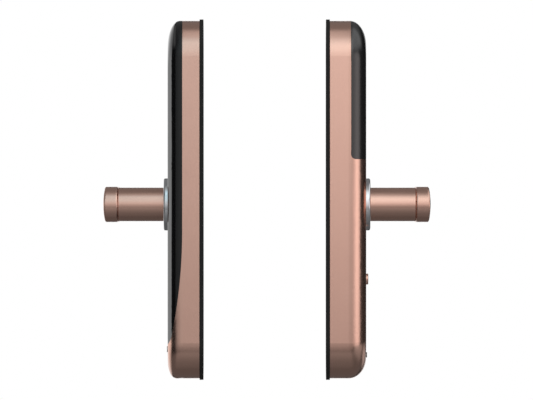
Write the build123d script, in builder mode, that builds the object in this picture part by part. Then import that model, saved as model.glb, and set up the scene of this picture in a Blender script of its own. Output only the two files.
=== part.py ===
from build123d import *
import os
from math import asin, degrees, radians, sin, sqrt

# Keypad smart lock: the exterior and the interior unit of one door lock, back to back.
# The origin is where the handle axis meets the door face of the exterior unit. X runs from the
# exterior to the interior, Z is up, and both lever arms point along Y. Sizes are in millimetres.
# A depth is measured outward from a unit's own door face.

# Door and the outline that both units share
door_thickness = 103.0
unit_width = 75.0
unit_top = 154.0
unit_bottom = -146.0
corner_radius = 30.0
wall = 2.2
gasket_thickness = 3.1
gasket_lip = 1.2
gasket_width = 7.0

# Clearances
fixed_gap = 0.05
running_gap = 0.05
free_gap = 0.3
cover_gap = 0.2
far = 400.0

# Exterior unit: front depth, and its front edge as (depth, inset) of a quarter ellipse
outer_front = 29.7
outer_side_edge = (13.0, 7.0)
outer_top_edge = (10.0, 20.5)
outer_bottom_edge = (7.0, 13.5)

# Seam between the rose-gold casing and the black front, which sweeps forward into the chin
seam_depth = 17.5
seam_bend_z = -23.0
seam_radius = 430.0
seam_turn_z = -110.0
seam_foot_z = -117.3
panel_depth = 23.1

# Interior unit
inner_front = 33.5
inner_side_edge = (15.0, 12.0)
inner_top_edge = (13.4, 20.0)
inner_bottom_edge = (14.5, 17.4)
cover_depth = 20.7
cover_bottom_z = 37.9
cover_corner = 4.2

# Lever handle, the same on both sides
rosette_radius = 22.0
rosette_height = 3.65
rosette_dome = 1.4
thread_height = 2.0
sleeve_radius = 15.0
tail_radius = 13.0
flange_radius = 18.0
flange_height = 2.5
journal_radius = 10.0
neck_radius = 14.1
neck_length = 42.0
neck_chamfer = 0.5
spigot_radius = 8.0
spigot_length = 7.0
arm_height = 29.6
arm_edge = 10.7
arm_dome = 1.4
arm_reach = 125.0
arm_chamfer = 0.8
outer_tail = 8.0
inner_tail = 12.0
set_screw_radius = 2.4
set_screw_length = 6.0
set_screw_key = 1.4
set_screw_key_depth = 2.0

# Return mechanism behind the bush
lever_travel = 55.0  # in degrees
plate_thickness = 1.6
plate_radius = 17.0
ear_width = 8.0
ear_reach = 23.0
stop_orbit = 21.0
stop_radius = 2.5
stop_margin = 0.4
ring_thickness = 1.2
ring_width = 3.0
ring_opening = 8.0
groove_depth = 1.0
journal_lip = 1.0
spring_wire = 1.4
spring_turns = 2.5
spring_pitch = 1.5

# Square spindle socket
spindle_width = 8.2
socket_radius = 7.0
socket_flange_radius = 9.0
socket_flange = 1.2
socket_length = 18.0
outer_socket_tail = 0.0
inner_socket_tail = 8.0

# Back plates, the posts for the door bolts and the cable way
plate_back = 1.1
plate_inset = 6.0
spindle_hole_radius = 13.0
bolt_high_z = 140.0
bolt_low_z = -88.0
post_radius = 4.5
post_length = 9.0
post_bore = 2.1
bolt_slot_radius = 2.75
bolt_slot_length = 12.0
cable_z = -42.0
cable_width = 24.0
cable_height = 10.0
grommet_wall = 1.0
grommet_flange = 2.0

# Screws
screw_shank = 1.9
screw_head = 3.6
screw_head_height = 1.0
screw_key = 1.1
screw_key_depth = 0.6
screw_length = 8.0
pillar_radius = 4.5
pillar_edge = 17.0
small_shank = 1.0
small_head = 2.0
small_head_height = 1.0
small_screw_length = 4.0
boss_radius = 3.0

# Keypad behind the panel
tray_floor = 1.2
tray_wall = 2.5
tray_bottom_z = -45.0
panel_wall = 2.5
panel_pocket_inset = 8.0
keypad_z = 82.0
key_pitch_y = 17.0
key_pitch_z = 22.0
key_columns = 3
key_rows = 4
key_radius = 6.0
guide_thickness = 1.2
guide_margin = 5.0
board_thickness = 1.6
chip_height = 1.2
keypad_board_clearance = 1.5
keypad_board_width = unit_width - 2 * (panel_pocket_inset + keypad_board_clearance)
keypad_board_height = 100.0
panel_pocket_top_z = keypad_z + keypad_board_height / 2 + keypad_board_clearance
standoff_inset = 4.0

# Boards and speaker
outer_board_depth = 11.0
outer_board_z = 82.0
outer_board_width = 56.0
outer_board_height = 92.0
inner_board_depth = 22.0
inner_board_z = -72.0
inner_board_width = 50.0
inner_board_height = 72.0
board_hole_inset = 4.0
speaker_z = -62.0
speaker_radius = 12.0
speaker_height = 5.0
speaker_cone = 9.0

# Chin: a pocket, and the emergency power studs in an insulating insert
chin_top_z = -104.0
chin_bottom_z = -132.0
chin_width = 50.0
chin_depth = 22.0
contact_z = -121.5
contact_spacing = 10.0
contact_head = 2.6
contact_proud = 0.9
contact_shank = 1.5
contact_tail = 3.0
insert_length = 20.0
insert_height = 7.0

# Battery bay
bay_floor_depth = 10.0
bay_floor = 2.0
cell_count = 4
cell_radius = 7.1
cell_length = 49.5
cell_button_radius = 2.7
cell_button = 1.0
cell_pitch = 15.6
cell_gap = 0.3
tray_thickness = 1.5
tray_rim = 10.0
tray_centre_z = 90.0
contact_thickness = 0.5
contact_bump = 2.4
rail_thickness = 1.2
rail_depth = 22.0
rail_bottom_z = 45.0
rail_top_z = 120.0
bay_screw_y = 14.0
bay_screw_z = 134.0

# Privacy button
button_z = -62.7
button_radius = 4.6
button_proud = 2.0
button_travel = 1.5
button_flange = 6.5
button_flange_height = 1.5
button_stem = 1.6
switch_width = 5.0
button_spring_radius = 4.4
button_spring_wire = 0.6
button_spring_turns = 3.0

# Long screw through the interior casing
lower_screw_z = -126.3
lower_head = 2.25
lower_head_proud = 0.9

os.makedirs("parts", exist_ok=True)


class Unit:
    """One half of the lock: where its door face lies, which way it looks and how its edge is rounded."""

    def __init__(self, face_x, outward, front, edges, wall_back, tail, socket_tail):
        self.face_x = face_x
        self.outward = outward
        self.front = front
        self.edges = edges
        self.wall_back = wall_back
        self.tail = wall_back - tail
        self.socket_tail = socket_tail
        self.bush_end = front + thread_height - free_gap
        self.neck_start = front + thread_height
        self.neck_end = front + neck_length
        self.return_plate = self.tail - free_gap - plate_thickness
        self.ring = self.return_plate - ring_thickness
        self.journal_end = self.ring - journal_lip

    def plane(self, depth):
        """The plane at this depth that looks outward, with Z up in it."""
        x = self.face_x + self.outward * depth
        return Plane(origin=(x, 0, 0), x_dir=(0, self.outward, 0), z_dir=(self.outward, 0, 0))

    def side(self):
        """The middle plane, with depth along its first axis and Z along its second."""
        return Plane(origin=(self.face_x, 0, 0), x_dir=(self.outward, 0, 0), z_dir=(0, -self.outward, 0))


outer_edges = (outer_side_edge, outer_top_edge, outer_bottom_edge)
inner_edges = (inner_side_edge, inner_top_edge, inner_bottom_edge)
outer = Unit(0, -1, outer_front, outer_edges, seam_depth - wall, outer_tail, outer_socket_tail)
inner = Unit(
    door_thickness, 1, inner_front, inner_edges, inner_front - wall, inner_tail, inner_socket_tail
)


def outline(grow):
    """The units' rounded outline, grown or shrunk evenly."""
    with Locations((0, (unit_top + unit_bottom) / 2)):
        RectangleRounded(
            unit_width + 2 * grow, unit_top - unit_bottom + 2 * grow, corner_radius + grow
        )


def inset(edge, reach_from_front, shrink):
    """How far a quarter-ellipse edge has drawn in, this far behind the front."""
    deep, wide = edge[0] - shrink, edge[1] - shrink
    share = 1 - reach_from_front / deep
    return wide * (1 - sqrt(1 - share**2)) if share > 0 else 0.0


def unit_solid(unit, shrink, steps=6):
    """The whole unit from the gasket to its rounded front, shrunk by a wall."""
    front = unit.front - shrink
    deepest = max(edge[0] for edge in unit.edges) - shrink
    with BuildPart() as solid:
        with BuildSketch(unit.plane(gasket_thickness)):
            outline(-shrink)
        extrude(amount=front - deepest - gasket_thickness)
        for step in range(steps + 1):
            reach = deepest * (1 - sin(radians(90 * step / steps)))
            side, top, bottom = (inset(edge, reach, shrink) for edge in unit.edges)
            high = unit_top - shrink - top
            low = unit_bottom + shrink + bottom
            with BuildSketch(unit.plane(front - reach)):
                with Locations((0, (high + low) / 2)):
                    RectangleRounded(
                        unit_width - 2 * (shrink + side), high - low, corner_radius - shrink - side
                    )
        loft()
    return solid.part


def save(piece, name):
    """Label the piece and write it."""
    piece.part.label = name
    export_step(piece.part, f"parts/{name}.step")


def cylinder(unit, radius, start, end, spots=((0, 0),), mode=Mode.ADD):
    """Round bars or holes along the handle's direction, from one depth to another."""
    with BuildSketch(unit.plane(start)) as round_ends:
        with Locations(*spots):
            Circle(radius)
    extrude(round_ends.sketch, amount=end - start, mode=mode)


def screws(unit, name, seat, into, spots, shank, head, head_height, length, key):
    """Screws whose heads sit on a face at this depth and whose shanks go outward or inward."""
    with BuildPart() as piece:
        cylinder(unit, head, seat - into * head_height, seat, spots)
        cylinder(unit, shank, seat, seat + into * length, spots)
        with BuildSketch(unit.plane(seat - into * head_height)):
            with Locations(*spots):
                RegularPolygon(key, 6)
        extrude(amount=into * screw_key_depth, mode=Mode.SUBTRACT)
    save(piece, name)


def corners(width, height, centre_z, edge):
    """Four spots inside the corners of an upright rectangle, as (across, up) in a unit's own plane."""
    return [
        (side * (width / 2 - edge), centre_z + up * (height / 2 - edge))
        for side in (-1, 1)
        for up in (-1, 1)
    ]


# Where screws and bosses go
housing_screw_spots = corners(
    unit_width, unit_top - unit_bottom, (unit_top + unit_bottom) / 2, pillar_edge
)
bolt_spots = [(0, bolt_high_z), (0, bolt_low_z)]
outer_board_spots = corners(outer_board_width, outer_board_height, outer_board_z, board_hole_inset)
inner_board_spots = corners(inner_board_width, inner_board_height, inner_board_z, board_hole_inset)
keypad_board_spots = corners(keypad_board_width, keypad_board_height, keypad_z, standoff_inset)
bay_screw_spots = [(side * bay_screw_y, bay_screw_z) for side in (-1, 1)]
contact_spots = [(side * contact_spacing / 2, contact_z) for side in (-1, 1)]

# The return plate's ear points down at rest, and two posts stop it at either end of its travel
stop_offset = degrees(asin((ear_width / 2 + stop_radius + stop_margin) / stop_orbit))


def stop_spots(unit):
    """Centres of the two stop posts, on either side of the ear's swing."""
    ends = (-90 + unit.outward * stop_offset, -90 - unit.outward * (lever_travel + stop_offset))
    return [
        (stop_orbit * sin(radians(90 - angle)), stop_orbit * sin(radians(angle))) for angle in ends
    ]


# Zone in front of the seam: black parts take what lies inside it, the casing what lies outside
seam_turn_depth = seam_depth + seam_radius - sqrt(seam_radius**2 - (seam_turn_z - seam_bend_z) ** 2)
with BuildPart() as front_zone:
    with BuildSketch(outer.side()):
        with BuildLine():
            straight = Line((seam_depth, far), (seam_depth, seam_bend_z))
            sweep_arc = TangentArc(straight @ 1, (seam_turn_depth, seam_turn_z), tangent=straight % 1)
            toe_arc = TangentArc(sweep_arc @ 1, (outer_front, seam_foot_z), tangent=sweep_arc % 1)
            Polyline(toe_arc @ 1, (far, seam_foot_z), (far, far), (seam_depth, far))
        make_face()
    extrude(amount=unit_width, both=True)

outer_whole = unit_solid(outer, 0)
inner_whole = unit_solid(inner, 0)
inner_hollow = unit_solid(inner, wall)

# Exterior casing: cast shell with a front wall, pillars for its screws, board bosses, stops and the chin
with BuildPart() as outer_housing:
    add(outer_whole)
    add(front_zone.part, mode=Mode.SUBTRACT)
    with BuildSketch(outer.plane(gasket_thickness)):
        outline(-wall)
    extrude(amount=outer.wall_back - gasket_thickness, mode=Mode.SUBTRACT)
    with BuildSketch(outer.plane(outer.wall_back)):
        with Locations((0, (chin_top_z + chin_bottom_z) / 2)):
            Rectangle(chin_width, chin_top_z - chin_bottom_z)
    extrude(amount=chin_depth - outer.wall_back, mode=Mode.SUBTRACT)
    cylinder(outer, pillar_radius, gasket_thickness, outer.wall_back, housing_screw_spots)
    cylinder(outer, boss_radius, outer_board_depth + board_thickness, outer.wall_back, outer_board_spots)
    cylinder(outer, stop_radius, outer.return_plate, outer.wall_back, stop_spots(outer))
    cylinder(outer, sleeve_radius + fixed_gap, outer.wall_back, seam_depth, mode=Mode.SUBTRACT)
    cylinder(
        outer, screw_shank + fixed_gap, gasket_thickness, gasket_thickness + screw_length,
        housing_screw_spots, Mode.SUBTRACT,
    )
    cylinder(
        outer, small_shank + fixed_gap, outer_board_depth, outer_board_depth + small_screw_length,
        outer_board_spots, Mode.SUBTRACT,
    )
    with BuildSketch(outer.plane(chin_depth)):
        with Locations((0, contact_z)):
            SlotOverall(insert_length + 2 * fixed_gap, insert_height + 2 * fixed_gap)
    extrude(amount=outer_front - chin_depth, mode=Mode.SUBTRACT)
save(outer_housing, "outer_housing")

# Black frame: a tray on the casing's front wall that carries the keypad
with BuildPart() as panel_frame:
    add(outer_whole)
    add(front_zone.part, mode=Mode.INTERSECT)
    with BuildSketch(outer.plane(panel_depth)):
        Rectangle(far, 2 * far)
    extrude(amount=far, mode=Mode.SUBTRACT)
    with BuildSketch(outer.plane(seam_depth + tray_floor)) as tray_pocket:
        outline(-tray_wall)
        with Locations((0, tray_bottom_z - far / 2)):
            Rectangle(far, far, mode=Mode.SUBTRACT)
    extrude(amount=far, mode=Mode.SUBTRACT)
    cylinder(
        outer, boss_radius, seam_depth + tray_floor,
        outer_front - panel_wall - guide_thickness - board_thickness, keypad_board_spots,
    )
    cylinder(outer, sleeve_radius + wall, seam_depth, panel_depth)
    cylinder(outer, sleeve_radius + fixed_gap, seam_depth, panel_depth, mode=Mode.SUBTRACT)
save(panel_frame, "panel_frame")

# Gloss front: a curved panel, pocketed behind for the keypad
pocket_depth = outer_front - panel_wall
with BuildPart() as touch_panel:
    add(outer_whole)
    add(front_zone.part, mode=Mode.INTERSECT)
    with BuildSketch(outer.plane(panel_depth)):
        Rectangle(far, 2 * far)
    extrude(amount=-far, mode=Mode.SUBTRACT)
    with BuildSketch(outer.plane(panel_depth)):
        with Locations((0, (panel_pocket_top_z + sleeve_radius + wall + panel_wall) / 2)):
            Rectangle(
                unit_width - 2 * panel_pocket_inset,
                panel_pocket_top_z - sleeve_radius - wall - panel_wall,
            )
    extrude(amount=pocket_depth - panel_depth, mode=Mode.SUBTRACT)
    cylinder(outer, sleeve_radius + fixed_gap, panel_depth, outer_front, mode=Mode.SUBTRACT)
save(touch_panel, "touch_panel")

# Keypad stack: light guide against the panel, lenses in its wells, board on the tray's standoffs
guide_back = pocket_depth - guide_thickness
with BuildPart() as light_guide:
    with BuildSketch(outer.plane(guide_back)):
        with Locations((0, keypad_z)):
            Rectangle(
                (key_columns - 1) * key_pitch_y + 2 * (key_radius + guide_margin) - guide_margin,
                (key_rows - 1) * key_pitch_z + 2 * (key_radius + guide_margin),
            )
            with GridLocations(key_pitch_y, key_pitch_z, key_columns, key_rows):
                Circle(key_radius, mode=Mode.SUBTRACT)
    extrude(amount=guide_thickness)
save(light_guide, "light_guide")

with BuildPart() as key_lenses:
    with BuildSketch(outer.plane(guide_back)):
        with Locations((0, keypad_z)):
            with GridLocations(key_pitch_y, key_pitch_z, key_columns, key_rows):
                Circle(key_radius - fixed_gap)
    extrude(amount=guide_thickness)
save(key_lenses, "key_lenses")

with BuildPart() as keypad_board:
    with BuildSketch(outer.plane(guide_back)):
        with Locations((0, keypad_z)):
            Rectangle(keypad_board_width, keypad_board_height)
    extrude(amount=-board_thickness)
    with BuildSketch(outer.plane(guide_back - board_thickness)):
        with Locations((0, keypad_z)):
            with GridLocations(key_pitch_y, key_pitch_z * 2, 2, 2):
                Rectangle(key_radius, key_radius)
    extrude(amount=-chip_height)
save(keypad_board, "keypad_board")


def circuit_board(name, unit, depth, centre_z, width, height, spots):
    """A circuit board with its screw holes, a processor and a row of connectors."""
    with BuildPart() as board:
        with BuildSketch(unit.plane(depth)):
            with Locations((0, centre_z)):
                Rectangle(width, height)
        extrude(amount=board_thickness)
        with BuildSketch(unit.plane(depth)):
            with Locations((0, centre_z)):
                Rectangle(width / 4, width / 4)
                with GridLocations(width / 3, height / 2, 2, 2):
                    Rectangle(width / 6, width / 9)
        extrude(amount=-chip_height)
        cylinder(unit, small_shank + fixed_gap, depth, depth + board_thickness, spots, Mode.SUBTRACT)
    save(board, name)


circuit_board(
    "outer_board", outer, outer_board_depth, outer_board_z, outer_board_width, outer_board_height,
    outer_board_spots,
)
screws(
    outer, "outer_board_screws", outer_board_depth, 1, outer_board_spots,
    small_shank, small_head, small_head_height, small_screw_length, small_shank / 2,
)

# Speaker on the back of the casing's front wall
with BuildPart() as speaker:
    cylinder(outer, speaker_radius, outer.wall_back - speaker_height, outer.wall_back, [(0, speaker_z)])
    with BuildSketch(outer.plane(outer.wall_back - speaker_height)):
        with Locations((0, speaker_z)):
            Circle(speaker_cone)
            Circle(speaker_cone / 3, mode=Mode.SUBTRACT)
    extrude(amount=wall / 2, mode=Mode.SUBTRACT)
save(speaker, "speaker")

# Emergency power contacts in the chin
with BuildPart() as contact_insert:
    with BuildSketch(outer.plane(chin_depth)):
        with Locations((0, contact_z)):
            SlotOverall(insert_length, insert_height)
    extrude(amount=outer_front - chin_depth)
    cylinder(outer, contact_shank + fixed_gap, chin_depth, outer_front, contact_spots, Mode.SUBTRACT)
save(contact_insert, "contact_insert")

with BuildPart() as power_contacts:
    cylinder(outer, contact_shank, chin_depth - contact_tail, outer_front, contact_spots)
    cylinder(outer, contact_head, outer_front, outer_front + contact_proud, contact_spots)
    fillet(
        power_contacts.faces().sort_by(Axis.X)[: len(contact_spots)].edges(), contact_proud / 2
    )
save(power_contacts, "power_contacts")


def gasket(name, unit):
    """Rubber ring that stands a little proud of the casing's outline."""
    with BuildPart() as ring:
        with BuildSketch(unit.plane(0)):
            outline(gasket_lip)
            with Locations((0, (unit_top + unit_bottom) / 2)):
                RectangleRounded(
                    unit_width + 2 * (gasket_lip - gasket_width),
                    unit_top - unit_bottom + 2 * (gasket_lip - gasket_width),
                    corner_radius + gasket_lip - gasket_width,
                    mode=Mode.SUBTRACT,
                )
        extrude(amount=gasket_thickness)
    save(ring, name)


gasket("outer_gasket", outer)
gasket("inner_gasket", inner)


def back_plate(name, unit, bolt_hole, slot_length, screw_spots):
    """Steel plate on the door side, with the spindle hole, bolt holes, cable way and screw holes."""
    with BuildPart() as plate:
        with BuildSketch(unit.plane(plate_back)):
            outline(-plate_inset)
            Circle(spindle_hole_radius, mode=Mode.SUBTRACT)
            with Locations(*bolt_spots):
                if slot_length:
                    SlotOverall(slot_length, 2 * bolt_hole, rotation=90, mode=Mode.SUBTRACT)
                else:
                    Circle(bolt_hole, mode=Mode.SUBTRACT)
            with Locations((0, cable_z)):
                SlotOverall(cable_width, cable_height, mode=Mode.SUBTRACT)
            with Locations(*screw_spots):
                Circle(screw_shank + fixed_gap, mode=Mode.SUBTRACT)
        extrude(amount=gasket_thickness - plate_back)
    save(plate, name)


back_plate("outer_back_plate", outer, post_bore + fixed_gap, 0, housing_screw_spots)
back_plate(
    "mounting_plate", inner, bolt_slot_radius, bolt_slot_length, bay_screw_spots + [(0, lower_screw_z)]
)
screws(
    outer, "outer_screws", plate_back, 1, housing_screw_spots,
    screw_shank, screw_head, screw_head_height, screw_length, screw_key,
)

# Threaded posts on the exterior back plate, for the bolts that come through the door
with BuildPart() as bolt_posts:
    cylinder(outer, post_radius, gasket_thickness, gasket_thickness + post_length, bolt_spots)
    cylinder(outer, post_bore, gasket_thickness, gasket_thickness + post_length, bolt_spots, Mode.SUBTRACT)
save(bolt_posts, "bolt_posts")


def grommet(name, unit):
    """Rubber lining of the cable way, with a flange inside the plate."""
    with BuildPart() as ring:
        with BuildSketch(unit.plane(plate_back)):
            with Locations((0, cable_z)):
                SlotOverall(cable_width - 2 * fixed_gap, cable_height - 2 * fixed_gap)
        extrude(amount=gasket_thickness - plate_back)
        with BuildSketch(unit.plane(gasket_thickness)):
            with Locations((0, cable_z)):
                SlotOverall(cable_width + 2 * grommet_flange, cable_height + 2 * grommet_flange)
        extrude(amount=grommet_wall)
        with BuildSketch(unit.plane(plate_back)):
            with Locations((0, cable_z)):
                SlotOverall(cable_width - 2 * grommet_wall, cable_height - 2 * grommet_wall)
        extrude(amount=gasket_thickness - plate_back + grommet_wall, mode=Mode.SUBTRACT)
    save(ring, name)


grommet("outer_cable_grommet", outer)
grommet("inner_cable_grommet", inner)


def lever(prefix, unit):
    """The lever handle of one unit, from its rosette to its spindle socket."""
    # Bush: a threaded sleeve through the front, a flange behind the front wall and a tail behind it
    with BuildPart() as bush:
        cylinder(unit, sleeve_radius, unit.wall_back - flange_height, unit.bush_end)
        cylinder(unit, flange_radius, unit.wall_back - flange_height, unit.wall_back)
        cylinder(unit, tail_radius, unit.tail, unit.wall_back)
        cylinder(unit, journal_radius + running_gap, unit.tail, unit.bush_end, mode=Mode.SUBTRACT)
    save(bush, f"{prefix}_bush")

    # Rosette: a domed ring that screws onto the sleeve
    with BuildPart() as rosette:
        cylinder(unit, rosette_radius, unit.front, unit.front + rosette_height)
        fillet(
            rosette.faces().sort_by(Axis((0, 0, 0), (unit.outward, 0, 0)))[-1].edges(), rosette_dome
        )
        cylinder(unit, neck_radius + free_gap, unit.front, unit.front + rosette_height, mode=Mode.SUBTRACT)
        cylinder(unit, sleeve_radius + fixed_gap, unit.front, unit.bush_end, mode=Mode.SUBTRACT)
    save(rosette, f"{prefix}_rosette")

    # Neck: the handle's round bar, its journal in the bush and the spigot that carries the arm
    with BuildPart() as neck:
        cylinder(unit, neck_radius, unit.neck_start, unit.neck_end)
        chamfer(
            neck.faces().sort_by(Axis((0, 0, 0), (unit.outward, 0, 0)))[-1].edges(), neck_chamfer
        )
        cylinder(unit, spigot_radius, unit.neck_end, unit.neck_end + spigot_length)
        cylinder(unit, journal_radius, unit.journal_end, unit.neck_start)
        with BuildSketch(unit.plane(unit.ring)):
            Circle(journal_radius)
            Circle(journal_radius - groove_depth, mode=Mode.SUBTRACT)
        extrude(amount=ring_thickness, mode=Mode.SUBTRACT)
        cylinder(
            unit, socket_radius + fixed_gap, unit.journal_end, unit.journal_end + socket_length + free_gap,
            mode=Mode.SUBTRACT,
        )
    save(neck, f"{prefix}_neck")

    # Arm: a level bar with a round end at the hub and at the tip, its front face slightly domed
    # and its edges chamfered on both sides
    hub_depth = unit.neck_end
    dome_radius = ((arm_height / 2) ** 2 + arm_dome**2) / (2 * arm_dome)
    with BuildPart() as arm:
        with BuildSketch(unit.plane(hub_depth)):
            with Locations((unit.outward * (arm_reach - arm_height / 2) / 2, 0)):
                SlotOverall(arm_reach + arm_height / 2, arm_height)
        extrude(amount=arm_edge + arm_dome)
        with BuildSketch(unit.side()):
            with Locations((hub_depth + arm_edge + arm_dome - dome_radius, 0)):
                Circle(dome_radius)
        extrude(amount=far, both=True, mode=Mode.INTERSECT)
        for face in (-1, 0):
            chamfer(
                arm.faces().sort_by(Axis((0, 0, 0), (unit.outward, 0, 0)))[face].edges(), arm_chamfer
            )
        cylinder(
            unit, spigot_radius + fixed_gap, hub_depth, hub_depth + spigot_length + free_gap,
            mode=Mode.SUBTRACT,
        )
        with BuildSketch(Plane.XY.offset(-arm_height)):
            with Locations((unit.face_x + unit.outward * (hub_depth + spigot_length / 2), 0)):
                Circle(set_screw_radius + fixed_gap)
        extrude(amount=arm_height, mode=Mode.SUBTRACT)
    save(arm, f"{prefix}_arm")

    # Set screw that clamps the arm on the neck's spigot, from below
    with BuildPart() as set_screw:
        with BuildSketch(Plane.XY.offset(-spigot_radius - fixed_gap)):
            with Locations((unit.face_x + unit.outward * (hub_depth + spigot_length / 2), 0)):
                Circle(set_screw_radius)
        extrude(amount=-set_screw_length)
        with BuildSketch(Plane.XY.offset(-spigot_radius - fixed_gap - set_screw_length)):
            with Locations((unit.face_x + unit.outward * (hub_depth + spigot_length / 2), 0)):
                RegularPolygon(set_screw_key, 6)
        extrude(amount=set_screw_key_depth, mode=Mode.SUBTRACT)
    save(set_screw, f"{prefix}_set_screw")

    # Return plate: a disc keyed on the journal, with an ear that the stops catch
    with BuildPart() as return_plate:
        with BuildSketch(unit.plane(unit.return_plate)):
            Circle(plate_radius)
            with Locations((0, -ear_reach / 2)):
                Rectangle(ear_width, ear_reach)
            Circle(journal_radius + fixed_gap, mode=Mode.SUBTRACT)
        extrude(amount=plate_thickness)
    save(return_plate, f"{prefix}_return_plate")

    # Retaining ring: an open ring in the journal's groove, behind the return plate
    with BuildPart() as retaining_ring:
        with BuildSketch(unit.plane(unit.ring)):
            Circle(journal_radius - groove_depth + ring_width)
            Circle(journal_radius - groove_depth + fixed_gap, mode=Mode.SUBTRACT)
            with Locations((0, journal_radius)):
                Rectangle(ring_opening, journal_radius, mode=Mode.SUBTRACT)
        extrude(amount=ring_thickness)
    save(retaining_ring, f"{prefix}_retaining_ring")

    # Return spring: open coils round the bush's tail
    coil_radius = tail_radius + spring_wire / 2 + free_gap
    coil_start = unit.wall_back - flange_height - spring_wire / 2 - fixed_gap
    coil_plane = unit.plane(coil_start)
    with BuildPart() as return_spring:
        with BuildLine():
            coil = Helix(
                spring_pitch, spring_pitch * spring_turns, coil_radius,
                center=coil_plane.origin, direction=(-unit.outward, 0, 0),
            )
        with BuildSketch(Plane(origin=coil @ 0, z_dir=coil % 0)):
            Circle(spring_wire / 2)
        sweep(is_frenet=True)
    save(return_spring, f"{prefix}_return_spring")

    # Spindle socket: a steel insert with the square hole, flanged against the journal's end
    with BuildPart() as spindle_socket:
        cylinder(unit, socket_radius, unit.journal_end - socket_flange, unit.journal_end + socket_length)
        cylinder(unit, socket_flange_radius, unit.journal_end - socket_flange, unit.journal_end)
        if unit.socket_tail:
            cylinder(unit, socket_radius, unit.journal_end - unit.socket_tail, unit.journal_end)
        with BuildSketch(unit.plane(unit.journal_end - unit.socket_tail - socket_flange)):
            Rectangle(spindle_width, spindle_width)
        extrude(amount=socket_length + unit.socket_tail, mode=Mode.SUBTRACT)
    save(spindle_socket, f"{prefix}_spindle_socket")


lever("outer", outer)
lever("inner", inner)

# Zone of the battery cover: the upper front of the interior unit, with one rounded corner behind
with BuildPart() as cover_zone:
    with BuildSketch(inner.side()) as cover_side:
        with Locations((cover_depth + far / 2, cover_bottom_z + far / 2)):
            Rectangle(far, far)
        fillet(
            cover_side.vertices().sort_by_distance((door_thickness + cover_depth, 0, cover_bottom_z))[0],
            cover_corner,
        )
    extrude(amount=unit_width, both=True)

# The same zone, drawn in by the seam between cover and casing
with BuildPart() as cover_room:
    with BuildSketch(inner.side()) as room_side:
        with Locations((cover_depth + cover_gap + far / 2, cover_bottom_z + cover_gap + far / 2)):
            Rectangle(far, far)
        fillet(
            room_side.vertices().sort_by_distance(
                (door_thickness + cover_depth + cover_gap, 0, cover_bottom_z + cover_gap)
            )[0],
            cover_corner - cover_gap,
        )
    extrude(amount=unit_width, both=True)

# Room inside the interior casing: its hollow, less a rib under the cover's edge and the battery bay's floor
with BuildPart() as inner_room:
    add(inner_hollow)
    with BuildSketch(inner.plane(0)):
        with Locations((0, cover_bottom_z - wall / 2)):
            Rectangle(unit_width, wall)
    extrude(amount=inner_front, mode=Mode.SUBTRACT)
    with BuildSketch(inner.plane(bay_floor_depth)):
        with Locations((0, cover_bottom_z + far / 2)):
            Rectangle(unit_width, far)
    extrude(amount=bay_floor, mode=Mode.SUBTRACT)

# Interior casing: shell with the rib, the bay's floor, bosses, stops and bores, and rails that the
# cover's side walls slide along
rail_room = inset(inner_side_edge, inner_front - wall - rail_depth, wall)
rail_y = unit_width / 2 - wall - rail_room - free_gap
with BuildPart() as inner_housing:
    add(inner_whole)
    add(inner_room.part, mode=Mode.SUBTRACT)
    cylinder(inner, pillar_radius, gasket_thickness, bay_floor_depth, bay_screw_spots)
    cylinder(inner, pillar_radius, gasket_thickness, inner.wall_back, [(0, lower_screw_z)])
    cylinder(inner, boss_radius, inner_board_depth + board_thickness, inner.wall_back, inner_board_spots)
    cylinder(inner, stop_radius, inner.return_plate, inner.wall_back, stop_spots(inner))
    add(cover_zone.part, mode=Mode.SUBTRACT)
    with BuildSketch(inner.plane(bay_floor_depth + bay_floor)):
        with Locations((0, (rail_bottom_z + rail_top_z) / 2)):
            with GridLocations(2 * rail_y - rail_thickness, 0, 2, 1):
                Rectangle(rail_thickness, rail_top_z - rail_bottom_z)
    extrude(amount=rail_depth - bay_floor_depth - bay_floor)
    cylinder(inner, sleeve_radius + fixed_gap, inner.wall_back, inner_front, mode=Mode.SUBTRACT)
    cylinder(inner, button_radius + free_gap, inner.wall_back, inner_front, [(0, button_z)], Mode.SUBTRACT)
    cylinder(
        inner, screw_shank + fixed_gap, gasket_thickness, bay_floor_depth + bay_floor, bay_screw_spots,
        Mode.SUBTRACT,
    )
    cylinder(
        inner, screw_shank + fixed_gap, gasket_thickness, inner_front, [(0, lower_screw_z)], Mode.SUBTRACT
    )
    cylinder(
        inner, small_shank + fixed_gap, inner_board_depth, inner_board_depth + small_screw_length,
        inner_board_spots, Mode.SUBTRACT,
    )
save(inner_housing, "inner_housing")

# Battery cover: a shell that slides up off the casing
with BuildPart() as battery_cover:
    add(inner_whole)
    add(cover_room.part, mode=Mode.INTERSECT)
    add(inner_hollow, mode=Mode.SUBTRACT)
save(battery_cover, "battery_cover")

# Battery tray: a box on the bay's floor with a rim between the cells' ends
bay_face = bay_floor_depth + bay_floor
tray_inside_width = cell_length + cell_button + 2 * (contact_thickness + contact_bump)
tray_inside_height = cell_count * cell_pitch
with BuildPart() as battery_tray:
    with BuildSketch(inner.plane(bay_face)):
        with Locations((0, tray_centre_z)):
            Rectangle(tray_inside_width + 2 * tray_thickness, tray_inside_height + 2 * tray_thickness)
    extrude(amount=tray_thickness + tray_rim)
    with BuildSketch(inner.plane(bay_face + tray_thickness)):
        with Locations((0, tray_centre_z)):
            Rectangle(tray_inside_width, tray_inside_height)
    extrude(amount=tray_rim, mode=Mode.SUBTRACT)
    with BuildSketch(inner.plane(bay_face + tray_thickness)):
        with Locations((0, tray_centre_z)):
            with GridLocations(0, cell_pitch, 1, cell_count - 1):
                Rectangle(tray_inside_width / 2, cell_pitch - 2 * (cell_radius + cell_gap))
    extrude(amount=tray_rim / 2)
save(battery_tray, "battery_tray")

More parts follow.
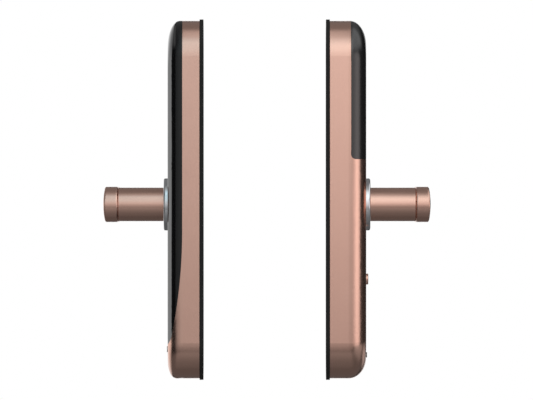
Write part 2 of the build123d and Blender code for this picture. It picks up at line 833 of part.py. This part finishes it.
# AA cells, lying across the tray with their buttons on alternate sides
cell_depth = bay_face + tray_thickness + cell_radius + fixed_gap
cell_levels = [tray_centre_z + (row - (cell_count - 1) / 2) * cell_pitch for row in range(cell_count)]
cell_x = door_thickness + cell_depth
with BuildPart() as batteries:
    for row, level in enumerate(cell_levels):
        facing = 1 if row % 2 else -1
        with BuildSketch(Plane(origin=(cell_x, -facing * cell_length / 2, level), z_dir=(0, facing, 0))):
            Circle(cell_radius)
        extrude(amount=cell_length)
        with BuildSketch(Plane(origin=(cell_x, facing * cell_length / 2, level), z_dir=(0, facing, 0))):
            Circle(cell_button_radius)
        extrude(amount=cell_button)
save(batteries, "batteries")

# Battery contacts: a plate at each end of each cell, with a boss that presses on the cell
with BuildPart() as battery_contacts:
    for row, level in enumerate(cell_levels):
        facing = 1 if row % 2 else -1
        for end in (-1, 1):
            face_y = end * tray_inside_width / 2
            cell_end = cell_length / 2 + (cell_button if end == facing else 0)
            with BuildSketch(Plane(origin=(cell_x, face_y, level), z_dir=(0, -end, 0))):
                Rectangle(cell_radius, cell_radius)
            extrude(amount=contact_thickness)
            with BuildSketch(Plane(origin=(cell_x, face_y, level), z_dir=(0, -end, 0))):
                Circle(cell_button_radius)
            extrude(amount=abs(face_y) - cell_end)
save(battery_contacts, "battery_contacts")

circuit_board(
    "inner_board", inner, inner_board_depth, inner_board_z, inner_board_width, inner_board_height,
    inner_board_spots,
)
screws(
    inner, "inner_board_screws", inner_board_depth, 1, inner_board_spots,
    small_shank, small_head, small_head_height, small_screw_length, small_shank / 2,
)
screws(
    inner, "inner_screws", bay_face, -1, bay_screw_spots,
    screw_shank, screw_head, screw_head_height, bay_face - plate_back, screw_key,
)

# Long screw that holds the foot of the interior casing to the mounting plate
with BuildPart() as lower_screw:
    cylinder(inner, screw_shank, plate_back, inner_front, [(0, lower_screw_z)])
    cylinder(inner, lower_head, inner_front, inner_front + lower_head_proud, [(0, lower_screw_z)])
    with BuildSketch(inner.plane(inner_front + lower_head_proud)):
        with Locations((0, lower_screw_z)):
            RegularPolygon(screw_key, 6)
    extrude(amount=-screw_key_depth, mode=Mode.SUBTRACT)
save(lower_screw, "lower_screw")

# Privacy button: a cap through the front wall, a flange behind it and a stem over the switch
button_back = inner.wall_back - cover_gap - button_flange_height
board_face = inner_board_depth + board_thickness
switch_top = button_back - button_travel - free_gap
with BuildPart() as privacy_button:
    cylinder(inner, button_radius, button_back, inner_front + button_proud, [(0, button_z)])
    fillet(privacy_button.faces().sort_by(Axis.X)[-1].edges(), button_proud / 3)
    cylinder(inner, button_flange, button_back, button_back + button_flange_height, [(0, button_z)])
save(privacy_button, "privacy_button")

with BuildPart() as privacy_switch:
    with BuildSketch(inner.plane(board_face)):
        with Locations((0, button_z)):
            Rectangle(switch_width, switch_width)
    extrude(amount=(switch_top - board_face) / 2)
    cylinder(inner, button_stem, board_face, switch_top, [(0, button_z)])
save(privacy_switch, "privacy_switch")

with BuildPart() as privacy_spring:
    coil_length = button_back - board_face - button_spring_wire - 2 * fixed_gap
    with BuildLine():
        button_coil = Helix(
            coil_length / button_spring_turns, coil_length, button_spring_radius,
            center=(
                door_thickness + board_face + button_spring_wire / 2 + fixed_gap, 0, button_z
            ),
            direction=(1, 0, 0),
        )
    with BuildSketch(Plane(origin=button_coil @ 0, z_dir=button_coil % 0)):
        Circle(button_spring_wire / 2)
    sweep(is_frenet=True)
save(privacy_spring, "privacy_spring")
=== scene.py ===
import math

import bmesh
import bpy
from mathutils import Matrix, Vector


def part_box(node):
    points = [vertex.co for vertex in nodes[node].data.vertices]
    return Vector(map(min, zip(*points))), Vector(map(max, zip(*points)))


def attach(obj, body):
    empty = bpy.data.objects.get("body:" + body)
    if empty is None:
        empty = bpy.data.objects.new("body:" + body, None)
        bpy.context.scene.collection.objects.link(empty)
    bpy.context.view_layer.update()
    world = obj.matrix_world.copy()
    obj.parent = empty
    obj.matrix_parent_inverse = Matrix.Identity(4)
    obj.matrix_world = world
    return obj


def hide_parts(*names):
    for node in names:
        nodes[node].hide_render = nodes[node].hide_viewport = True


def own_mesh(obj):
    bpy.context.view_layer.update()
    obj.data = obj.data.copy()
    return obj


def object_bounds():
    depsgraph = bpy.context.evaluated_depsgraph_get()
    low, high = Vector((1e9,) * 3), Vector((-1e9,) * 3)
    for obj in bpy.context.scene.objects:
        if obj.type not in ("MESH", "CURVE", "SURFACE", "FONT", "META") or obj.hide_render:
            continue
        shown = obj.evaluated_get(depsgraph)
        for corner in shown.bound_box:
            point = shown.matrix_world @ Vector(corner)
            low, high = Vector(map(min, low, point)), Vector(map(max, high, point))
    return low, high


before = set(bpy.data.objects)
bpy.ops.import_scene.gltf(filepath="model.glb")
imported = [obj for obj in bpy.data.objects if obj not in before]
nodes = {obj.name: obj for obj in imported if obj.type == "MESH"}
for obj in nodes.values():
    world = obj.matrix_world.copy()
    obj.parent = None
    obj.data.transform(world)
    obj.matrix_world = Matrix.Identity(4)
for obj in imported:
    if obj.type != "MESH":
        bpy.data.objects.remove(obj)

cad_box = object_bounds()

# ---------------------------------------------------------------------------
# Casings: both units are zinc castings, bead-blasted and finished in rose gold
# with a satin clear lacquer. The exterior one holds the black front, and the
# interior one carries the battery cover.


class Shade:
    """One output of a finish's nodes. Python's signs on it add Math nodes."""

    def __init__(self, socket):
        self.socket = socket

    def worked(self, operation, *values):
        numbered = dict(enumerate(values))
        return Recipe(self.socket.id_data).node("ShaderNodeMath", {"operation": operation}, numbered)

    def __add__(self, other):
        return self.worked("ADD", self, other)

    def __sub__(self, other):
        return self.worked("SUBTRACT", self, other)

    def __rsub__(self, other):
        return self.worked("SUBTRACT", other, self)

    def __mul__(self, other):
        return self.worked("MULTIPLY", self, other)

    def __truediv__(self, other):
        return self.worked("DIVIDE", self, other)

    def __pow__(self, other):
        return self.worked("POWER", self, other)

    def __abs__(self):
        return self.worked("ABSOLUTE", self)

    __radd__ = __add__


class Recipe:
    """A node tree that is filled one node at a time."""

    def __init__(self, tree):
        self.tree = tree

    def fill(self, made, sockets):
        """Links or sets a node's inputs."""
        for key, value in sockets.items():
            if isinstance(value, Shade):
                self.tree.links.new(value.socket, made.inputs[key])
            else:
                made.inputs[key].default_value = value

    def node(self, kind, settings=None, sockets=None, give=0):
        """Adds a node, settings first, then its sockets, and returns the output asked for."""
        made = self.tree.nodes.new(kind)
        for name, value in (settings or {}).items():
            if name == "stops":
                while len(made.color_ramp.elements) < len(value):
                    made.color_ramp.elements.new(1.0)
                for element, (place, colour) in zip(made.color_ramp.elements, value):
                    element.position = place
                    element.color = (*colour, 1.0)
            else:
                setattr(made, name, value)
        self.fill(made, sockets or {})
        return Shade(made.outputs[give])

    def between(self, share, low, high):
        """A colour from low to high. A Mix node's colours are inputs 6 and 7 and output 2."""
        low, high = (c if isinstance(c, Shade) else (*c, 1.0) for c in (low, high))
        return self.node("ShaderNodeMix", {"data_type": "RGBA"}, {0: share, 6: low, 7: high}, give=2)

    def ramp(self, share, *stops):
        """A colour that follows the stops."""
        return self.node("ShaderNodeValToRGB", {"stops": stops}, {"Fac": share})

    def step(self, value, start, end):
        """0 before start, 1 after end, smooth between."""
        sockets = {"Value": value, "From Min": start, "From Max": end}
        return self.node("ShaderNodeMapRange", {"interpolation_type": "SMOOTHSTEP"}, sockets)

    def parts(self, vector, axes="XYZ"):
        """A vector's parts, one for each axis named."""
        return [self.node("ShaderNodeSeparateXYZ", None, {"Vector": vector}, give=axis) for axis in axes]


class Finish(Recipe):
    """A surface finish on the piece's own coordinates."""

    def __init__(self, name):
        self.material = bpy.data.materials.new(name)
        self.material.use_nodes = True
        super().__init__(self.material.node_tree)
        self.place = self.node("ShaderNodeTexCoord", give="Object")

    def grain(self, size, detail=2.0, seed=0.0):
        """Noise whose spots are about this many metres across."""
        settings = {"noise_dimensions": "4D"}
        sockets = {"Vector": self.place, "W": seed, "Scale": 1 / size, "Detail": detail}
        return self.node("ShaderNodeTexNoise", settings, sockets)

    def red(self, colour):
        """A colour's red share, for patterns in grey."""
        return self.node("ShaderNodeSeparateColor", None, {"Color": colour})

    def relief(self, height, depth, **sockets):
        """Bumps of this depth, in metres."""
        sockets.update(Strength=1.0, Distance=depth, Height=height)
        return self.node("ShaderNodeBump", None, sockets)

    def surface(self, colour, **sockets):
        """Sets the shader: colour, then other sockets with _ for a space."""
        named = {key.replace("_", " "): value for key, value in sockets.items()}
        named["Base Color"] = colour if isinstance(colour, Shade) else (*colour, 1.0)
        self.fill(self.tree.nodes["Principled BSDF"], named)


def dress(finish, *names):
    """Gives CAD nodes this finish."""
    for name in names:
        for slot in nodes[name].material_slots:
            slot.material = finish.material


def satin_gold(name, edge_radius=None):
    """Blasted rose gold under satin lacquer. A radius rounds the look of the edges."""
    gold = Finish(name)
    blast = gold.grain(0.0005)
    cloud = gold.grain(0.018, seed=3.0)
    edges = {}
    if edge_radius:
        edges["Normal"] = gold.node("ShaderNodeBevel", {"samples": 8}, {"Radius": edge_radius})
    gold.surface(
        gold.between(cloud, (0.755, 0.47, 0.38), (0.805, 0.51, 0.415)),
        Metallic=1.0,
        Roughness=0.24 + (blast - 0.5) * 0.08 + (cloud - 0.5) * 0.03,
        Normal=gold.relief(blast, 0.000006, **edges),
    )
    return gold


rose_gold = satin_gold("rose_gold_satin")
dress(rose_gold, "outer_housing", "inner_housing")

# ---------------------------------------------------------------------------
# Gaskets and cable grommets: moulded black rubber. Each gasket is a ring
# that the casing presses on the door, and shows as a thin dark lip.

rubber = Finish("black_rubber")
skin = rubber.grain(0.0009, detail=4.0)
rubber.surface(
    rubber.between(skin, (0.010, 0.010, 0.010), (0.018, 0.017, 0.016)),
    Roughness=0.62 + skin * 0.2,
    Specular_IOR_Level=0.3,
    Normal=rubber.relief(skin, 0.000008),
)
dress(rubber, "outer_gasket", "inner_gasket", "outer_cable_grommet", "inner_cable_grommet")

# ---------------------------------------------------------------------------
# Steel parts: pressed back plates, bolt posts, bushes, return springs, rings and
# sockets, all zinc plated, so that they are pale with a faint mottle.

spangles_per_metre = 260.0
zinc = Finish("zinc_plated_steel")
spangle = zinc.node(
    "ShaderNodeTexVoronoi", None, {"Vector": zinc.place, "Scale": spangles_per_metre}, give="Color"
)
mottle = zinc.grain(0.004, detail=3.0)
draw = zinc.grain(0.0006, seed=8.0)
zinc.surface(
    zinc.between(mottle, (0.56, 0.57, 0.58), (0.68, 0.68, 0.66)),
    Metallic=1.0,
    Roughness=0.26 + zinc.red(spangle) * 0.14 + draw * 0.08,
    Normal=zinc.relief(draw, 0.000008),
)
dress(
    zinc, "outer_back_plate", "mounting_plate", "bolt_posts", "outer_return_plate", "inner_return_plate",
    "outer_retaining_ring", "inner_retaining_ring", "outer_return_spring", "inner_return_spring",
    "outer_bush", "inner_bush", "outer_spindle_socket", "inner_spindle_socket", "power_contacts",
)

# ---------------------------------------------------------------------------
# Screws: blackened steel with dull, dry heads. They hold the plates, the
# boards, the foot of the interior casing and the levers' arms.

blackened = Finish("blackened_screw_steel")
oxide = blackened.grain(0.0007, detail=3.0)
blackened.surface(
    blackened.between(oxide, (0.035, 0.034, 0.033), (0.075, 0.072, 0.07)),
    Metallic=0.85,
    Roughness=0.38 + oxide * 0.16,
    Normal=blackened.relief(oxide, 0.00001),
)
dress(
    blackened, "outer_screws", "inner_screws", "outer_board_screws", "inner_board_screws", "lower_screw",
    "outer_set_screw", "inner_set_screw",
)

# ---------------------------------------------------------------------------
# Black front: a moulded frame with a fine spark-eroded texture behind, and
# over it a thick gloss panel with polished, rounded edges.

moulded = Finish("black_moulded_plastic")
spark = moulded.grain(0.0006, detail=3.0)
moulded.surface(
    moulded.between(spark, (0.007, 0.007, 0.007), (0.012, 0.012, 0.0125)),
    Roughness=0.30 + spark * 0.12,
    IOR=1.45,
    Normal=moulded.relief(spark, 0.00002),
)
dress(moulded, "panel_frame", "contact_insert")

gloss = Finish("gloss_black_panel")
wipe = gloss.grain(0.03, detail=3.0)
ripple = gloss.grain(0.012, detail=1.0, seed=5.0)
gloss.surface(
    gloss.between(wipe, (0.003, 0.003, 0.0035), (0.005, 0.005, 0.0055)),
    Roughness=0.03 + wipe * 0.03,
    IOR=2.4,
    Normal=gloss.relief(ripple, 0.00001),
)
dress(gloss, "touch_panel")

# ---------------------------------------------------------------------------
# Key marks: three columns and four rows of figures, printed in grey on the
# panel's front as a very thin layer that follows its curve.

key_lines = ("1 2 3", "4 5 6", "7 8 9", "* 0 #")
key_columns = 3
key_radius = 0.006
figure_height = 0.0078
font_size_per_height = 1.35
ink_thickness = 0.00001
ink_lift = 0.00003
weld = 0.000001

lens_low, lens_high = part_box("key_lenses")
row_step = (lens_high.z - lens_low.z - 2 * key_radius) / (len(key_lines) - 1)
column_step = (lens_high.y - lens_low.y - 2 * key_radius) / (key_columns - 1)
upright = Matrix(((0, 0, -1), (-1, 0, 0), (0, 1, 0))).to_4x4()
marks = bmesh.new()
for row, line in enumerate(key_lines):
    for column, figure in enumerate(line.split()):
        text = bpy.data.curves.new("figure", "FONT")
        text.body = figure
        text.size = figure_height * font_size_per_height
        text.extrude = ink_thickness
        text.align_x = "CENTER"
        text.resolution_u = 4
        holder = bpy.data.objects.new("figure", text)
        bpy.context.collection.objects.link(holder)
        bpy.context.view_layer.update()
        flat = bpy.data.meshes.new_from_object(holder.evaluated_get(bpy.context.evaluated_depsgraph_get()))
        bpy.data.objects.remove(holder)
        heights = [vertex.co.y for vertex in flat.vertices]
        centred = Matrix.Translation((0, -(min(heights) + max(heights)) / 2, 0))
        spot = Vector((
            0.0, ((key_columns - 1) / 2 - column) * column_step, lens_high.z - key_radius - row * row_step
        ))
        flat.transform(Matrix.Translation(spot) @ upright @ centred)
        marks.from_mesh(flat)
        bpy.data.meshes.remove(flat)
bmesh.ops.remove_doubles(marks, verts=marks.verts, dist=weld)
panel = nodes["touch_panel"]
ahead_of_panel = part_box("touch_panel")[0].x - 0.01
for vertex in marks.verts:
    front = panel.ray_cast((ahead_of_panel, vertex.co.y, vertex.co.z), (1.0, 0.0, 0.0))[1]
    vertex.co.x += front.x - ink_lift
bmesh.ops.recalc_face_normals(marks, faces=marks.faces)


def piece(mesh, name, body, finish):
    """Makes an object of a finished mesh, on a body, in one of the finishes made here."""
    data = bpy.data.meshes.new(name)
    mesh.to_mesh(data)
    mesh.free()
    made = bpy.data.objects.new(name, data)
    bpy.context.collection.objects.link(made)
    made.data.materials.append(finish.material)
    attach(made, body)
    return made


printed = Finish("printed_key_marks")
screen = printed.grain(0.0004)
printed.surface(
    printed.between(screen, (0.20, 0.205, 0.21), (0.27, 0.275, 0.28)),
    Roughness=0.28 + screen * 0.1,
    Coat_Weight=0.5,
)
piece(marks, "key_marks", "exterior_unit", printed)

# ---------------------------------------------------------------------------
# Keypad's lights: twelve lenses and the guide that spreads light to them,
# moulded in milky plastic behind the panel.

milky = Finish("milky_diffuser")
haze = milky.grain(0.006, detail=3.0)
milky.surface(
    milky.between(haze, (0.74, 0.75, 0.74), (0.80, 0.80, 0.78)),
    Roughness=0.40 + haze * 0.12,
    Subsurface_Weight=0.15,
    Normal=milky.relief(haze, 0.00002),
)
dress(milky, "light_guide", "key_lenses")

# ---------------------------------------------------------------------------
# Circuit boards: glass weave under green mask, with copper tracks that show
# paler. The speaker and the privacy switch are black moulded parts.

tracks_per_metre = 240.0
black, white = (0.0, 0.0, 0.0), (1.0, 1.0, 1.0)
green = Finish("green_circuit_board")
turned = green.node("ShaderNodeMapping", None, {"Vector": green.place, "Rotation": (0.0, math.pi / 2, 0.0)})
track_lines = green.red(green.node("ShaderNodeTexBrick", {"offset": 0.5, "squash": 1.0}, {
    "Vector": turned, "Color1": (*black, 1.0), "Color2": (*black, 1.0), "Mortar": (*white, 1.0),
    "Scale": tracks_per_metre, "Mortar Size": 0.04, "Brick Width": 1.4, "Row Height": 0.5,
}))
weave = green.grain(0.0012, detail=3.0)
green.surface(
    green.between(
        track_lines, green.between(weave, (0.006, 0.060, 0.024), (0.010, 0.085, 0.034)), (0.03, 0.16, 0.06)
    ),
    Roughness=0.30 + weave * 0.12,
    Normal=green.relief(track_lines, 0.00003),
)
dress(green, "keypad_board", "outer_board", "inner_board")
dress(moulded, "speaker", "privacy_switch")

# ---------------------------------------------------------------------------
# Levers: a turned neck and a level arm, both rose gold like the casings. The
# arms' ends and edges are rounded over. The button is made like them.

dress(rose_gold, "outer_neck", "inner_neck", "privacy_button")
dress(satin_gold("rose_gold_with_rounded_edges", edge_radius=0.0018), "outer_arm", "inner_arm")

# ---------------------------------------------------------------------------
# Rosettes: turned steel rings, screwed over the levers' bushes and plated with
# chrome that keeps the lathe's fine rings. The battery contacts are as bright.

turning_pitch = 0.0004
chrome = Finish("turned_chrome")
ring_y, ring_z = chrome.parts(chrome.place, "YZ")
from_axis = (ring_y ** 2.0 + ring_z ** 2.0) ** 0.5
turning = from_axis.worked("SINE", from_axis * (2 * math.pi / turning_pitch))
smear = chrome.grain(0.003, detail=3.0)
chrome.surface(
    chrome.between(smear, (0.66, 0.67, 0.69), (0.76, 0.77, 0.79)),
    Metallic=1.0,
    Roughness=0.09 + smear * 0.06,
    Normal=chrome.relief(turning, 0.000003),
)
dress(chrome, "outer_rosette", "inner_rosette", "battery_contacts")

# ---------------------------------------------------------------------------
# Privacy button's spring: an open coil of bright wire round the switch, from the board
# to the button's flange, fixed on the interior unit; the real coil closes up as the button goes in.

coil = bmesh.new()
coil.from_mesh(nodes["privacy_spring"].data)
bmesh.ops.remove_doubles(coil, verts=coil.verts, dist=weld)
spring = piece(coil, "privacy_spring_coils", "interior_unit", chrome)
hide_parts("privacy_spring")
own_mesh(spring)

# ---------------------------------------------------------------------------
# Battery cover and tray: satin black mouldings. The cover slides up off the
# unit, and the tray holds the cells behind it.

cover = Finish("satin_black_cover")
pores = cover.grain(0.0006, detail=3.0)
cover.surface(
    cover.between(pores, (0.007, 0.007, 0.0075), (0.011, 0.011, 0.0115)),
    Roughness=0.20 + pores * 0.08,
    IOR=1.8,
    Normal=cover.relief(pores, 0.000012),
)
dress(cover, "battery_cover", "battery_tray")

# ---------------------------------------------------------------------------
# Batteries: four AA cells that lie across the tray. Each has a printed sleeve,
# dark on one part and green on the other, between bare metal ends.

sleeves_per_metre = 18.0
sleeve = Finish("battery_sleeve")
scuff = sleeve.grain(0.002, detail=3.0)
bands = sleeve.ramp(
    sleeve.parts(sleeve.place, "Y")[0] * sleeves_per_metre + 0.5,
    (0.0, (0.55, 0.56, 0.57)), (0.062, (0.02, 0.05, 0.09)), (0.70, (0.02, 0.06, 0.11)),
    (0.72, (0.62, 0.64, 0.65)), (0.74, (0.05, 0.18, 0.16)), (0.938, (0.05, 0.18, 0.16)),
)
sleeve.surface(
    sleeve.between(scuff * 0.2, bands, (0.3, 0.3, 0.3)),
    Metallic=0.35,
    Roughness=0.30 + scuff * 0.12,
)
dress(sleeve, "batteries")

# ---------------------------------------------------------------------------
# Studio air: white to the eye and straight behind the lock. In every other
# reflection it is a dark room with a few soft glows.

scene = bpy.context.scene
scene.view_settings.view_transform = "Standard"


class Studio(Recipe):
    """Nodes that tell rays apart, for the air and the floor."""

    def rays(self, kind):
        """1 for rays of this kind, 0 for others."""
        return self.node("ShaderNodeLightPath", give=f"Is {kind} Ray")

    def shown_white(self, share_behind):
        """How far a ray sees plain white: wholly from the camera, and by this share in a reflection."""
        return self.rays("Camera") + self.rays("Glossy") * share_behind + self.rays("Transmission")

    def patch(self, strength, *fades):
        """A glow of this strength. Each fade is a direction's part, where it starts and where it is full."""
        for way, start, full in fades:
            strength = self.step(way, start, full) * strength
        return strength


world = bpy.data.worlds.new("studio_air")
world.use_nodes = True
scene.world = world
air = Studio(world.node_tree)
across_way, depth_way, up_way = air.parts(air.node("ShaderNodeTexCoord", give="Generated"))
# How squarely the left unit's rounded side turns a ray this way, level ones most
leftward = across_way * -1.0 / (1.01 - depth_way) ** 0.5 - abs(up_way) * 0.6
before = air.patch(1.0, (depth_way, 0.1, -0.2), (abs(across_way), 0.55, 0.2))
glows = (
    # Below, and more so before the lock
    air.patch(0.11 + before * (0.04 + air.step(up_way, -1.0, -0.5) * 0.13), (up_way, -0.40, -0.52)),
    # Above
    air.patch(0.2, (up_way, 0.3, 0.6), (depth_way, -0.75, -0.25)),
    # A pale wall on the left, brightest at eye level
    air.patch(1.05 - air.step(abs(up_way), 0.0, 0.5) * 0.7, (leftward, 0.68, 0.80)),
    # High on the right
    air.patch(1.0, (across_way, 0.15, 0.4), (up_way, 0.25, 0.5), (depth_way, 0.55, 0.1)),
    # Low on the right
    air.patch(
        0.36, (across_way, 0.35, 0.7), (up_way, -0.78, -0.25), (up_way, -0.05, -0.2), (depth_way, 0.4, -0.1)
    ),
    # Low on the right and behind
    air.patch(
        0.45, (across_way, 0.35, 0.6), (depth_way, 0.2, 0.5), (up_way, -0.06, -0.16), (up_way, -0.45, -0.3)
    ),
)
dim = 0.01
for glow in glows:
    dim = glow + dim
straight_behind = air.step(depth_way, 0.93, 0.98)
air.fill(world.node_tree.nodes["Background"], {
    "Color": air.between(air.shown_white(straight_behind), air.between(dim, black, white), white),
})

# ---------------------------------------------------------------------------
# Floor: a plain pale disc under the pair that keeps its shadow. It fades out
# towards its rim, and from below it isn't seen.

floor_drop = 0.045
floor_radius = 0.9
fade_start, fade_end = 0.5, 0.88
floor_middle = (cad_box[0].x + cad_box[1].x) / 2
floor_mesh = bmesh.new()
bmesh.ops.create_circle(floor_mesh, cap_ends=True, segments=96, radius=floor_radius)
bmesh.ops.translate(floor_mesh, verts=floor_mesh.verts, vec=(floor_middle, 0.0, cad_box[0].z - floor_drop))
floor_data = bpy.data.meshes.new("floor")
floor_mesh.to_mesh(floor_data)
floor_mesh.free()
floor = bpy.data.objects.new("floor", floor_data)
bpy.context.collection.objects.link(floor)


class Floor(Studio, Finish):
    """The floor's finish, which also tells rays apart."""


pale = Floor("pale_floor")
dust = pale.grain(0.2)
floor_x, floor_y = pale.parts(pale.place, "XY")
from_middle = ((floor_x - floor_middle) ** 2.0 + floor_y ** 2.0) ** 0.5
passing = pale.rays("Glossy") + pale.rays("Shadow")
underside = pale.node("ShaderNodeNewGeometry", give="Backfacing")
pale.surface(
    pale.between(dust, (0.78, 0.78, 0.78), (0.82, 0.82, 0.82)),
    Roughness=0.8,
    Emission_Color=pale.between(pale.shown_white(0.0), black, (0.45, 0.45, 0.45)),
    Emission_Strength=1.0,
    Alpha=pale.step(from_middle, fade_end, fade_start) * (1.0 - passing) * (1.0 - underside),
)
floor.data.materials.append(pale.material)

# ---------------------------------------------------------------------------
# Lamps: six flat softboxes before, above and beside the pair. Each is graded,
# so that the casings' flat sides pass from light at the top to dark below.

tint_turn = (0.35, 0.8)


def softbox(name, low, high, faces, across, up, tints):
    """A flat lamp between two corners, from the first tint at its foot to the second at its top.

    Its brightness, where 1 is white, is graded up and across. A ramp's stops can't pass 1, so that
    both ramps hold halves, and the power makes up for them.
    """
    low, high, faces = Vector(low), Vector(high), Vector(faces)
    turn = faces.to_track_quat("-Z", "Y")
    spread = turn.inverted() @ (high - low)
    data = bpy.data.lights.new(name, "AREA")
    data.shape = "RECTANGLE"
    data.size, data.size_y = abs(spread.x), abs(spread.y)
    data.energy = 2 * 2 * math.pi * data.size * data.size_y
    data.use_nodes = True
    box = Recipe(data.node_tree)
    right_share, up_share = box.parts(box.node("ShaderNodeTexCoord", give="UV"), "XY")
    grades = [
        box.ramp(share, *((at, (bright / 2,) * 3) for at, bright in stops))
        for share, stops in ((right_share, across), (up_share, up))
    ]
    box.fill(data.node_tree.nodes["Emission"], {
        "Color": box.between(box.step(up_share, *tint_turn), *tints),
        "Strength": grades[0] * grades[1],
    })
    lamp = bpy.data.objects.new(name, data)
    lamp.location = (low + high) / 2
    lamp.rotation_euler = turn.to_euler()
    bpy.context.collection.objects.link(lamp)


backward, down = (0.0, 1.0, 0.0), (0.0, 0.0, -1.0)
seam_x = 0.05
front_y = -1.05
foot_z, ceiling_z = -0.6, 0.98
softbox(
    "front_left", (-0.70, front_y, foot_z), (seam_x, front_y, ceiling_z), backward,
    across=((0.0, 0.0), (0.11, 0.5), (0.77, 1.05), (0.86, 0.95), (1.0, 0.66)),
    up=(
        (0.0, 0.25), (0.08, 0.28), (0.19, 0.35), (0.26, 0.45), (0.34, 0.575), (0.38, 0.64), (0.45, 0.72),
        (0.54, 0.80), (0.70, 0.79), (1.0, 0.74),
    ),
    tints=(white, (1.0, 1.25, 1.33)),
)
softbox(
    "front_right", (seam_x, front_y, foot_z), (0.60, front_y, ceiling_z), backward,
    across=((0.0, 1.15), (0.12, 1.25), (0.24, 0.88), (0.35, 0.90), (0.50, 0.77), (1.0, 0.80)),
    up=(
        (0.0, 0.25), (0.08, 0.28), (0.19, 0.36), (0.26, 0.45), (0.34, 0.70), (0.38, 0.80), (0.45, 0.94),
        (0.54, 1.12), (0.70, 1.28), (1.0, 1.36),
    ),
    tints=((1.0, 0.94, 0.93), (1.0, 1.04, 1.04)),
)
softbox(
    "overhead_left", (-0.34, front_y, ceiling_z), (seam_x, 0.0, ceiling_z), down,
    across=((0.0, 0.0), (0.45, 1.0)),
    up=((0.0, 0.80), (0.19, 0.78), (0.38, 0.64), (0.54, 0.40), (0.66, 0.20), (0.80, 0.08), (1.0, 0.0)),
    tints=((1.0, 1.28, 1.38), (1.0, 1.1, 1.12)),
)
softbox(
    "overhead_right", (seam_x, front_y, ceiling_z), (0.60, 0.0, ceiling_z), down,
    across=((0.0, 1.2), (0.13, 1.15), (0.25, 0.65), (1.0, 0.65)),
    up=((0.0, 1.36), (0.19, 1.25), (0.38, 0.96), (0.54, 0.52), (0.66, 0.22), (0.80, 0.08), (1.0, 0.0)),
    tints=((1.0, 1.05, 1.05), (1.0, 1.03, 1.03)),
)
softbox(
    "over_bodies", (-0.03, -0.28, 0.45), (0.14, 0.02, 0.45), down,
    across=((0.0, 1.0), (0.4, 1.0), (1.0, 0.85)),
    up=((0.0, 0.0), (0.4, 0.28), (0.65, 0.42), (0.85, 0.32), (1.0, 0.0)),
    tints=(white, white),
)
softbox(
    "right_side", (0.60, front_y, -0.4), (1.05, -0.35, 0.6), (-0.84, 0.54, 0.0),
    across=((0.0, 0.66), (0.21, 0.90), (0.43, 1.35), (0.62, 1.35), (0.85, 0.95), (1.0, 0.1)),
    up=((0.0, 0.0), (0.08, 0.15), (0.26, 0.85), (0.32, 1.0), (0.62, 1.0), (0.8, 0.3), (1.0, 0.0)),
    tints=((1.0, 0.90, 0.88), (1.0, 0.92, 0.90)),
)

# ---------------------------------------------------------------------------
# Camera: a long lens that looks square at the lock's side, far enough off that
# near and far edges line up.

view_distance = 8.0
view_width = 0.4477
view_middle_x, view_middle_z = 0.053, 0.0037
lens = bpy.data.cameras.new("long_lens")
lens.sensor_width = 36.0
lens.lens = lens.sensor_width * view_distance / view_width
camera = bpy.data.objects.new("camera", lens)
camera.location = (view_middle_x, -view_distance, view_middle_z)
camera.rotation_euler = (math.pi / 2, 0.0, 0.0)
bpy.context.collection.objects.link(camera)
scene.camera = camera
